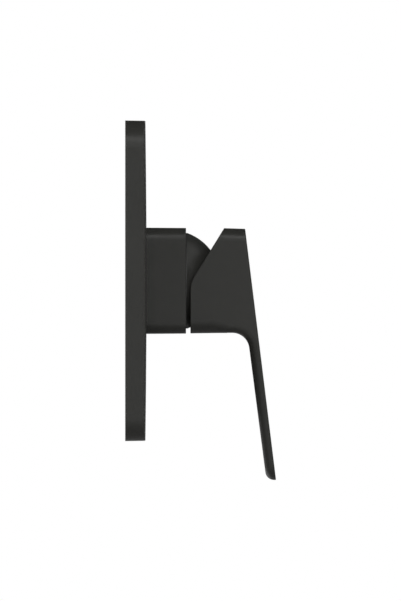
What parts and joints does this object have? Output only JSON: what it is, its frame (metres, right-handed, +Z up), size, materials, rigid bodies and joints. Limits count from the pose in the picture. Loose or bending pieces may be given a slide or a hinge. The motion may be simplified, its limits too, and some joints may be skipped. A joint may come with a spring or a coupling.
{
  "type": "concealed shower mixer",
  "caption": "Single-lever concealed shower mixer: square face plate, rounded square sleeve, ball-shaped cap and a block lever with a blade, over a ceramic-disc cartridge.",
  "frame": {"origin": "centre of the valve body's rear face, on the wall plane and on the axis of the sleeve", "axes": "+Y into the wall, so the lever stands out towards -Y; +Z up; +X to the right as the user faces it"},
  "size_m": [0.163, 0.0766, 0.1828],
  "materials": {
    "black_coat": "matte black coating on die-cast metal",
    "brass": "machined",
    "steel": "plain stainless steel",
    "black_plastic": "fine moulded grain",
    "pale_plastic": "moulded acetal",
    "red_plastic": "moulded",
    "ceramic": "lapped alumina",
    "rubber": "moulded",
    "foam": "closed-cell foam strip"
  },
  "bodies": {
    "wall_unit": {"face_plate": "black_coat", "plate_gasket": "foam", "plate_seal": "rubber", "plate_carrier": "black_plastic", "carrier_screws": "steel", "valve_body": "brass", "body_o_ring": "rubber", "sleeve": "black_coat", "sleeve_washer": "black_plastic", "dome_cap": "black_coat", "cartridge_housing": "pale_plastic", "cartridge_base": "pale_plastic", "base_seals": "rubber", "fixed_disc": "ceramic", "limit_ring": "red_plastic", "retaining_nut": "brass"},
    "turning_rotor": {"rotor": "pale_plastic", "lever_pin": "steel"},
    "lever_arm": {"lever": "black_coat", "stem": "brass", "set_screw": "steel", "screw_plug": "black_plastic"},
    "sliding_disc": {"moving_disc": "ceramic", "disc_carrier": "pale_plastic"}
  },
  "joints": [
    {"name": "temperature_turn", "type": "hinge", "parent": "wall_unit", "child": "turning_rotor", "pos_m": [0, -0.02281, 0], "axis": [0, -1, 0], "range_deg": [-50, 50]},
    {"name": "lever_lift", "type": "hinge", "parent": "turning_rotor", "child": "lever_arm", "pos_m": [0, -0.02281, 0], "axis": [-1, 0, 0], "range_deg": [0, 25]},
    {"name": "disc_slide", "type": "slide", "parent": "turning_rotor", "child": "sliding_disc", "axis": [0, 0, 1], "range_m": [-0.00274, 0]}
  ],
  "couplings": [
    {"joint": "disc_slide", "follows": "lever_lift", "m_per_rad": -0.00625}
  ]
}
